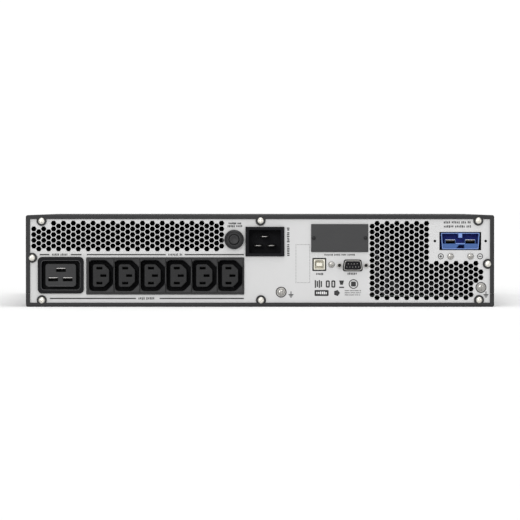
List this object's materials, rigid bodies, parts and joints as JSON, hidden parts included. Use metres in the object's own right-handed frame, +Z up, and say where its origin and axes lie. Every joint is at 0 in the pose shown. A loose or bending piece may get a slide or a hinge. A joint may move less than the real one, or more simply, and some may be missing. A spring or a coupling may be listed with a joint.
{
  "type": "rackmount ups",
  "caption": "Two-unit rack UPS: dark sleeve case, light rear panel with perforated vents, mains outlets, inlet, breaker, ports and battery connector, and a louvred front bezel.",
  "frame": {"origin": "on the resting plane, under the middle of the whole object's box", "axes": "+X along the rack's width, +Y towards the front bezel, +Z up; the outlets face -Y"},
  "size_m": [0.4826, 0.4264, 0.0858],
  "materials": {
    "case_paint": "satin powder coat",
    "panel_paint": "smooth light grey paint",
    "black_plastic": "moulded, matt",
    "grey_plastic": "moulded, matt",
    "zinc_plate": "zinc plated",
    "black_steel": "black oxide",
    "steel_plate": "nickel plated",
    "cream_plastic": "moulded",
    "blue_plastic": "moulded, satin",
    "brass": "tin plated in use",
    "circuit_board": "solder mask",
    "aluminium": "extruded",
    "copper_wire": "enamelled winding",
    "display_glass": "smoked, glossy"
  },
  "bodies": {
    "case": {"top_cover": "case_paint", "base_tray": "case_paint", "slot_cover": "case_paint", "rack_ear_left": "case_paint", "rack_ear_right": "case_paint", "rear_panel": "panel_paint", "outlet_c19": "black_plastic", "inlet_housing": "black_plastic", "serial_insert": "black_plastic", "fan_frame_left": "black_plastic", "fan_frame_right": "black_plastic", "capacitor_left": "black_plastic", "capacitor_right": "black_plastic", "outlet_block": "grey_plastic", "breaker_body": "grey_plastic", "front_bezel": "grey_plastic", "case_screw_top_left": "zinc_plate", "case_screw_top_middle": "zinc_plate", "case_screw_top_right": "zinc_plate", "case_screw_side_left": "zinc_plate", "case_screw_side_right": "zinc_plate", "case_screw_bottom_left": "zinc_plate", "case_screw_bottom_middle": "zinc_plate", "case_screw_bottom_right": "zinc_plate", "ground_screw_left": "zinc_plate", "ground_screw_right": "zinc_plate", "battery_screw_positive": "zinc_plate", "battery_screw_negative": "zinc_plate", "data_port_screw": "zinc_plate", "jackscrew_left": "zinc_plate", "jackscrew_right": "zinc_plate", "inlet_pin_earth": "zinc_plate", "inlet_pin_live": "zinc_plate", "inlet_pin_neutral": "zinc_plate", "ear_screw_left_lower": "zinc_plate", "ear_screw_left_upper": "zinc_plate", "ear_screw_right_lower": "zinc_plate", "ear_screw_right_upper": "zinc_plate", "fan_wall": "zinc_plate", "slot_screw_left": "black_steel", "slot_screw_right": "black_steel", "data_port_shell": "steel_plate", "serial_shell": "steel_plate", "data_port_core": "cream_plastic", "battery_connector": "blue_plastic", "battery_contact_positive": "brass", "battery_contact_negative": "brass", "power_board": "circuit_board", "port_board": "circuit_board", "heatsink": "aluminium", "filter_choke": "copper_wire", "display_window": "display_glass"},
    "breaker_button": {"breaker_button": "grey_plastic"},
    "fan_rotor_left": {"fan_rotor_left": "black_plastic"},
    "fan_rotor_right": {"fan_rotor_right": "black_plastic"},
    "power_button": {"power_button": "grey_plastic"},
    "menu_button_back": {"menu_button_back": "black_plastic"},
    "menu_button_enter": {"menu_button_enter": "black_plastic"},
    "menu_button_next": {"menu_button_next": "black_plastic"}
  },
  "joints": [
    {"name": "breaker_trip", "type": "slide", "parent": "case", "child": "breaker_button", "axis": [0, -1, 0], "range_m": [0, 0.0035]},
    {"name": "fan_left_spin", "type": "hinge", "parent": "case", "child": "fan_rotor_left", "pos_m": [-0.095, 0.11595, 0.043], "axis": [0, 1, 0], "continuous": true},
    {"name": "fan_right_spin", "type": "hinge", "parent": "case", "child": "fan_rotor_right", "pos_m": [0.095, 0.11595, 0.043], "axis": [0, 1, 0], "continuous": true},
    {"name": "power_press", "type": "slide", "parent": "case", "child": "power_button", "axis": [0, -1, 0], "range_m": [0, 0.0015], "stiffness_N_per_m": 400},
    {"name": "menu_back_press", "type": "slide", "parent": "case", "child": "menu_button_back", "axis": [0, -1, 0], "range_m": [0, 0.001], "stiffness_N_per_m": 300},
    {"name": "menu_enter_press", "type": "slide", "parent": "case", "child": "menu_button_enter", "axis": [0, -1, 0], "range_m": [0, 0.001], "stiffness_N_per_m": 300},
    {"name": "menu_next_press", "type": "slide", "parent": "case", "child": "menu_button_next", "axis": [0, -1, 0], "range_m": [0, 0.001], "stiffness_N_per_m": 300}
  ]
}
